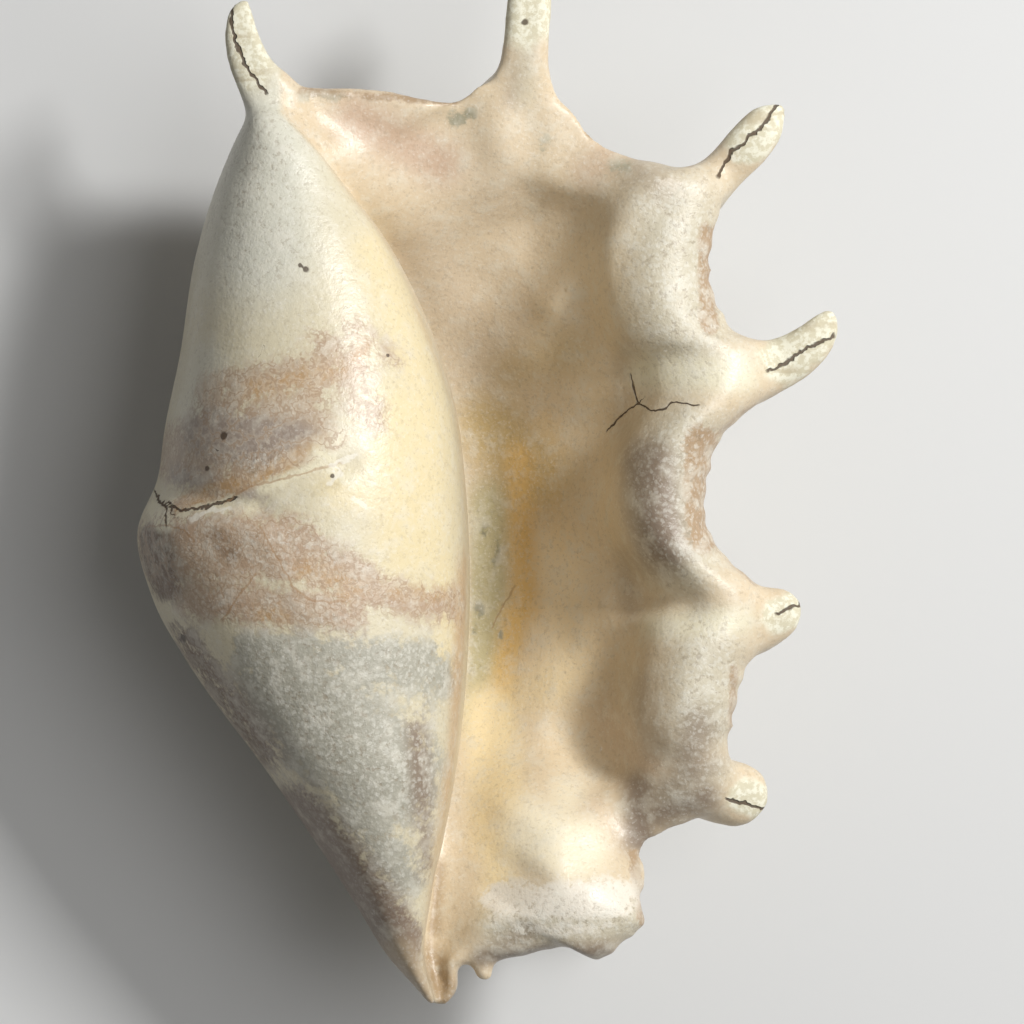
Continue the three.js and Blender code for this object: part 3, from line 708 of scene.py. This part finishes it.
# A net of thin orange-brown scars over the band, where the outer layer has flaked.
banded = attribute("banded")
net = maths("ABSOLUTE", maths("SUBTRACT", noise(7, 3, 0.62), 0.5))
scars = maths("MULTIPLY", step(net, 0.03, 0.008), step(banded, 0.25, 0.6, 0.55))
colour = blend(scars, colour, lime(150, 112, 78))
pale = maths("MULTIPLY", step(maths("SUBTRACT", net, 0.05), 0.03, 0.0), step(banded, 0.3, 0.7, 0.22))
colour = blend(pale, colour, lime(228, 214, 190))

# Back of the shell: dull cream lime with brown flecks along the spiral cords, and rubbed knobs.
# The hollow is plain peach lime.
rough_lime = blend(step(streak, 0.4, 0.6), lime(208, 194, 164), lime(226, 216, 192))
rough_lime = blend(step(maths("MULTIPLY", streak, cloud), 0.3, 0.42, 0.65), rough_lime, lime(158, 122, 84))
rough_lime = blend(step(growth, 0.55, 0.7, 0.4), rough_lime, lime(184, 164, 132))
rough_lime = blend(step(attribute("knobs"), 0.45, 0.85, 0.8), rough_lime, lime(238, 232, 216))
colour = blend(step(attribute("front"), 0.2, 0.8), rough_lime, colour)
peach = blend(step(cloud, 0.4, 0.6), lime(244, 216, 176), lime(236, 200, 156))
colour = blend(attribute("hollowed"), colour, peach)

# Fingers are bare chalk with fine grey streaks and tan grime in the creases.
chalk = blend(step(fleck, 0.42, 0.6), lime(216, 208, 180), lime(240, 236, 214))
chalk = blend(step(streak, 0.58, 0.7, 0.5), chalk, lime(186, 170, 138))
bare = step(maths("MULTIPLY_ADD", maths("SUBTRACT", patch, 0.5), 0.5, attribute("finger")), 0.35, 0.65)
colour = blend(bare, colour, chalk)

# Cracks and slits of the mouth side: half width, and the points each runs through.
OPEN_CRACKS = [
    (0.55, [(-70.3, 127.1), (-69.7, 121.5), (-67.8, 115.6), (-65.2, 111.2), (-61.3, 105.6)]),
    (0.55, [(66.6, 83.4), (69.2, 88.5), (74.2, 92.7), (77.6, 95.2), (80.1, 98.6), (82, 101.6)]),
    (0.55, [(81.2, 28), (86.5, 30.8), (89.9, 33.6), (96.6, 36.7)]),
    (0.55, [(83.7, -39.8), (88.2, -38.1)]),
    (0.55, [(70, -93), (73.1, -93.8), (75.9, -94.6), (79, -95.8)]),
    (0.26, [(36.4, 12.3), (40.3, 16.5), (44, 18.5), (47.3, 16.2), (51, 16.8), (52.9, 18.8), (58, 17.9)]),
    (0.26, [(43.4, 18.8), (42, 24.9)]),
    (0.4, [(-91, -7.3), (-89.6, -8.7), (-87.6, -9), (-85.4, -10.6), (-83.4, -11.5), (-76.7, -10.9),
           (-73.4, -9.8), (-69.2, -8.7)]),
    (0.4, [(-91, -8.7), (-87.6, -10.6), (-87.4, -14)]),
]
HAIRLINES = [
    (0.4, [(-69.2, -8.7), (-64.4, -5.3), (-56.3, -3.4), (-48.2, -1.4), (-39.8, 1.1)]),
    (0.35, [(-62.4, -29.7), (-66, -34), (-70.6, -40.6)]),
    (0.4, [(-59.6, -17.4), (-55.7, -24.9), (-51, -33), (-46.2, -36.4), (-39.5, -36.4)]),
    (0.35, [(-91.6, -16), (-86.8, -15.7), (-82, -16.8), (-80, -18.8)]),
    (0.3, [(8, -35), (3, -44)]),
]
FLAKES = [
    (0.8, [(-78.7, -13.4), (-75.3, -11.5), (-70.6, -11.2)]), (0.8, [(-40.9, -3.4), (-39.6, -2.2)]),
    (0.8, [(-40, 1.4), (-36, 3)]), (0.8, [(-34, -9), (-33, -9.6)]),
]


def side_of(lines):
    """Signed distance from the nearest line in half widths, + on its left, and plain millimetres."""
    nearest, signed = np.full(len(x), np.inf), np.zeros(len(x))
    for half, line in lines:
        for (x0, y0), (x1, y1) in zip(line, line[1:]):
            run = np.array([x1 - x0, y1 - y0])
            t = np.clip(((x - x0) * run[0] + (y - y0) * run[1]) / (run @ run), 0, 1)
            distance = np.hypot(x - x0 - t * run[0], y - y0 - t * run[1])
            left = (run[0] * (y - y0) - run[1] * (x - x0)) / np.hypot(*run)
            closer = distance < nearest
            nearest = np.where(closer, distance, nearest)
            signed = np.where(closer, left / half, signed)
    return signed, nearest


# Vertices further off than FAR, and those that don't face up, stay clear of the drawn lines.
FAR = 9
wander = maths("SUBTRACT", noise(2.2, 1), 0.5)
lines_drawn = {}
for name, lines, paint, strength in (
    ("open_cracks", OPEN_CRACKS, (78, 58, 42), 0.88), ("hairlines", HAIRLINES, (168, 130, 92), 0.5),
    ("flakes", FLAKES, (244, 238, 222), 0.65),
):
    signed, nearest = side_of(lines)
    mark(name, signed)
    mark(name + "_near", np.minimum(nearest, FAR) + FAR * (1 - front))
    offset = maths("ABSOLUTE", maths("MULTIPLY_ADD", wander, 4.0, attribute(name)))
    line_mask = maths("MULTIPLY", step(offset, 1.15, 0.45), step(attribute(name + "_near"), 2.6, 1.6))
    colour = blend(maths("MULTIPLY", line_mask, strength), colour, lime(*paint))
    lines_drawn[name] = line_mask
depth = lines_drawn["open_cracks"]

# Small holes and dark specks: x, y, radius. Each vertex keeps its place seen from the nearest one.
SPECKS = np.array([
    [-48.7, 54.9, 1.1], [-50, 55.6, 0.7], [-75.6, 0, 0.9], [-83.5, -47, 1.5], [12, 124.9, 1.3],
    [-40.9, -2.2, 0.7], [-70.8, 9, 1.3], [-26, 31, 0.5],
])
gaps = place[:, None, :2] - SPECKS[None, :, :2]
nearest = np.argmin(np.linalg.norm(gaps, axis=2), axis=1)
seen = gaps[np.arange(len(place)), nearest] / SPECKS[nearest, 2:]
mark("speck", np.column_stack([seen, FAR * (1 - front)]), "FLOAT_VECTOR", "vector")
speck = tree.nodes.new("ShaderNodeVectorMath")
speck.operation = "LENGTH"
put(speck.inputs[0], attribute("speck", "Vector"))
hole = step(maths("MULTIPLY_ADD", wander, 1.6, speck.outputs["Value"]), 1.0, 0.5, 0.85)
colour = blend(hole, colour, lime(74, 58, 44))
put(shader.inputs["Base Color"], colour)

# Glossy where the enamel is whole, dull where it is frosted, chalky on the fingers and the back.
gloss = maths("MULTIPLY_ADD", maths("SUBTRACT", fleck, 0.5), 0.25, 0.34)
gloss = maths("ADD", gloss, maths("MULTIPLY", frosted, maths("MULTIPLY_ADD", islands, 0.2, 0.1)))
dull = maths("MAXIMUM", bare, step(attribute("front"), 0.7, 0.2))
gloss = maths("MULTIPLY_ADD", dull, maths("SUBTRACT", 0.8, gloss), gloss)
put(shader.inputs["Roughness"], maths("MAXIMUM", gloss, maths("MULTIPLY", depth, 0.9)))

# Relief too fine to model: low waves in the enamel, pitted frosting, grain and open cracks.
height = maths("MULTIPLY", patch, 0.4)
height = maths("MULTIPLY_ADD", fleck, maths("MULTIPLY_ADD", frosted_here, 0.42, 0.07), height)
height = maths("MULTIPLY_ADD", grain, 0.1, height)
height = maths("MULTIPLY_ADD", depth, -0.9, height)
bump = tree.nodes.new("ShaderNodeBump")
bump.inputs["Strength"].default_value = 0.8
bump.inputs["Distance"].default_value = 0.8 * MM
put(bump.inputs["Height"], height)
put(shader.inputs["Normal"], bump.outputs["Normal"])

# The cut of the hollow leaves an empty slot, so the slots are cleared before the enamel goes in.
shell.data.materials.clear()
shell.data.materials.append(enamel)
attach(shell, "root")
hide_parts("shell")

# ============================================================================================
# The studio: a pale table top under the shell, a key light high on the right, a wide fill light
# and the camera straight above the mouth. Sizes here are metres and watts.
# ============================================================================================

bpy.ops.mesh.primitive_plane_add(size=6)
table = bpy.context.active_object
table.name = "table"
pale = bpy.data.materials.new("pale_table")
pale.use_nodes = True
pale.node_tree.nodes["Principled BSDF"].inputs["Base Color"].default_value = (0.72, 0.72, 0.71, 1)
pale.node_tree.nodes["Principled BSDF"].inputs["Roughness"].default_value = 0.9
table.data.materials.append(pale)


AIM_HEIGHT = 0.05


def softbox(name, place, size, power):
    """A square light at the place, turned to the middle of the shell."""
    light = bpy.data.lights.new(name, "AREA")
    light.size = size
    light.energy = power
    lamp = bpy.data.objects.new(name, light)
    lamp.location = place
    target = table.location.copy()
    target.z = AIM_HEIGHT
    lamp.rotation_euler = (lamp.location - target).to_track_quat("Z", "Y").to_euler()
    bpy.context.scene.collection.objects.link(lamp)


softbox("key", (0.8, 0.5, 1.1), 0.26, 16)
softbox("fill", (0.6, 0.0, 1.35), 0.8, 6.5)
world = bpy.data.worlds.new("studio")
bpy.context.scene.world = world
world.use_nodes = True
world.node_tree.nodes["Background"].inputs["Color"].default_value = (1, 1, 1, 1)
world.node_tree.nodes["Background"].inputs["Strength"].default_value = 0.12
bpy.context.scene.view_settings.view_transform = "Standard"
bpy.context.scene.cycles.diffuse_bounces = 2
bpy.context.scene.cycles.glossy_bounces = 2

# The camera takes in FRAMED metres across at FOCUS_HEIGHT, and stands over OVER_X and OVER_Y of the
# shell before it was centred.
FRAMED = 0.2867
FOCUS_HEIGHT = 0.075
OVER_X, OVER_Y = 0.0081, -0.0120
LENS, SENSOR = 180, 36
camera = bpy.data.objects.new("camera", bpy.data.cameras.new("camera"))
camera.data.lens = LENS
camera.data.sensor_width = SENSOR
standing = FOCUS_HEIGHT + FRAMED * LENS / SENSOR
camera.location = (OVER_X - middle[0] * MM, OVER_Y - middle[1] * MM, standing)
bpy.context.scene.collection.objects.link(camera)
bpy.context.scene.camera = camera
